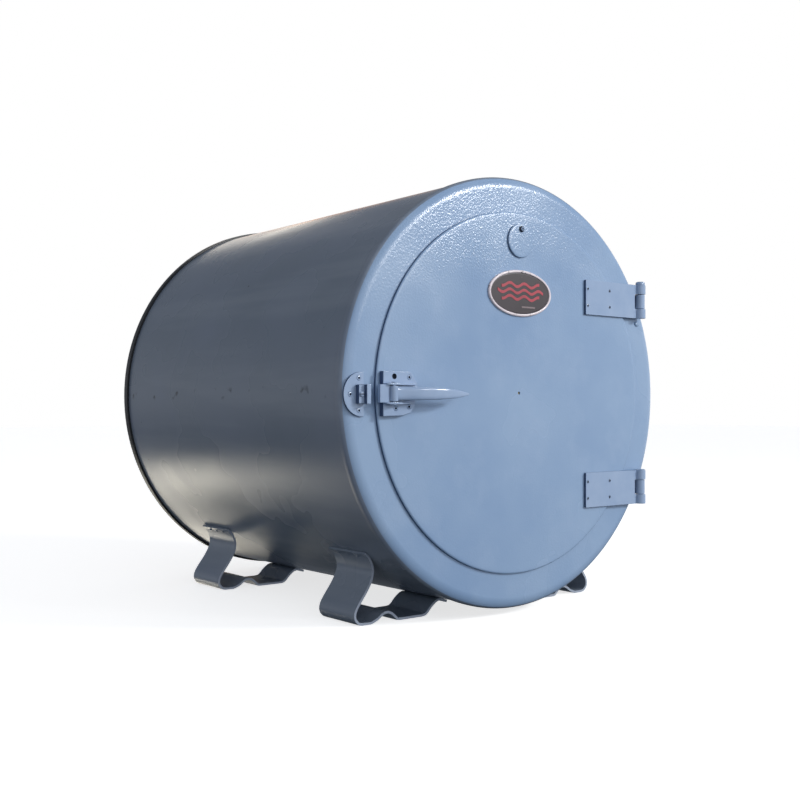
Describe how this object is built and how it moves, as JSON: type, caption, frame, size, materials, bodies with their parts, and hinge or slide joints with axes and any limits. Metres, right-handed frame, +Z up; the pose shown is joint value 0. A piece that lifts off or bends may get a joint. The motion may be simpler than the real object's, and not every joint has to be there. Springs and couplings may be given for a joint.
{
  "type": "electrode drying oven",
  "caption": "Horizontal drum bench oven on strap feet for drying welding electrodes, with a round insulated plug door, lever latch and vent.",
  "frame": {"origin": "on the ground, under the middle of the oven's bounding box", "axes": "+X to the right when facing the door, where the hinges are; +Y from the door to the controls, along the drum's axis; +Z up"},
  "size_m": [0.5616, 0.6844, 0.5693],
  "materials": {
    "blue_grey_enamel": "glossy baked enamel with a fine orange peel",
    "slate_enamel": "semi-gloss dark slate enamel",
    "black_enamel": "satin black enamel",
    "galvanised_sheet": "galvanised sheet steel",
    "mineral_wool": "matt mineral wool blanket",
    "glass_tape": "woven glass tape",
    "element_sheath": "oxidised stainless sheath",
    "hardware_enamel": "steel and zinc hardware sprayed over with the front's glossy blue-grey enamel",
    "spring_steel": "bright spring wire",
    "badge_rim": "polished pressed rim",
    "badge_face": "dark brown enamel",
    "black_phenolic": "black moulded phenolic",
    "dial_aluminium": "brushed aluminium",
    "amber_lens": "translucent amber lens",
    "glass_sleeving": "woven glass sleeving",
    "copper_tube": "drawn copper tube"
  },
  "bodies": {
    "oven_body": {"front_ring": "blue_grey_enamel", "drum_shell": "slate_enamel", "control_box": "slate_enamel", "foot_front_left": "slate_enamel", "foot_front_right": "slate_enamel", "foot_rear_left": "slate_enamel", "foot_rear_right": "slate_enamel", "rear_cover": "black_enamel", "chamber_liner": "galvanised_sheet", "liner_rear_panel": "galvanised_sheet", "rod_shelf_lower": "galvanised_sheet", "rod_shelf_middle": "galvanised_sheet", "rod_shelf_upper": "galvanised_sheet", "shelf_rail_lower_left": "galvanised_sheet", "shelf_rail_lower_right": "galvanised_sheet", "shelf_rail_middle_left": "galvanised_sheet", "shelf_rail_middle_right": "galvanised_sheet", "shelf_rail_upper_left": "galvanised_sheet", "shelf_rail_upper_right": "galvanised_sheet", "element_support_front": "galvanised_sheet", "element_support_rear": "galvanised_sheet", "shell_insulation": "mineral_wool", "rear_insulation": "mineral_wool", "heating_element": "element_sheath", "hinge_frame_leaf_upper": "hardware_enamel", "hinge_frame_leaf_lower": "hardware_enamel", "hinge_pin_upper": "hardware_enamel", "hinge_pin_lower": "hardware_enamel", "keeper_screw": "hardware_enamel", "strike_plate": "hardware_enamel", "strike_keeper": "hardware_enamel", "thermostat_body": "black_phenolic", "cord_gland": "black_phenolic", "terminal_block": "black_phenolic", "dial_plate": "dial_aluminium", "pilot_light": "amber_lens", "heater_lead_left": "glass_sleeving", "heater_lead_right": "glass_sleeving", "thermostat_bulb": "copper_tube"},
    "door": {"door_skin": "blue_grey_enamel", "door_plug_pan": "galvanised_sheet", "door_insulation": "mineral_wool", "door_gasket": "glass_tape", "vent_tube": "galvanised_sheet", "vent_screw": "hardware_enamel", "nameplate_rim": "badge_rim", "nameplate_face": "badge_face", "hinge_door_leaf_upper": "hardware_enamel", "hinge_door_leaf_lower": "hardware_enamel", "latch_base": "hardware_enamel", "latch_pivot_pin": "hardware_enamel", "latch_spring": "spring_steel"},
    "latch_handle": {"latch_handle": "hardware_enamel"},
    "latch_bolt": {"latch_bolt": "hardware_enamel"},
    "vent_shutter": {"vent_shutter": "blue_grey_enamel"},
    "thermostat_knob": {"thermostat_knob": "black_phenolic"}
  },
  "joints": [
    {"name": "door_swing", "type": "hinge", "parent": "oven_body", "child": "door", "pos_m": [0.238, -0.31625, 0.2885], "axis": [0, 0, 1], "range_deg": [0, 180]},
    {"name": "latch_handle_pull", "type": "hinge", "parent": "door", "child": "latch_handle", "pos_m": [-0.2185, -0.32585, 0.2855], "axis": [0, 0, -1], "range_deg": [0, 40], "stiffness_Nm_per_rad": 0.6},
    {"name": "latch_bolt_slide", "type": "slide", "parent": "door", "child": "latch_bolt", "axis": [1, 0, 0], "range_m": [0, 0.0064], "deforming": ["latch_spring"]},
    {"name": "vent_shutter_swing", "type": "hinge", "parent": "door", "child": "vent_shutter", "pos_m": [0.0005, -0.31205, 0.5007], "axis": [0, 1, 0], "range_deg": [-135, 135]},
    {"name": "thermostat_knob_turn", "type": "hinge", "parent": "oven_body", "child": "thermostat_knob", "pos_m": [0, 0.34215, 0.1935], "axis": [0, 1, 0], "range_deg": [0, 300]}
  ],
  "couplings": [
    {"joint": "latch_bolt_slide", "follows": "latch_handle_pull", "m_per_rad": 0.009}
  ]
}
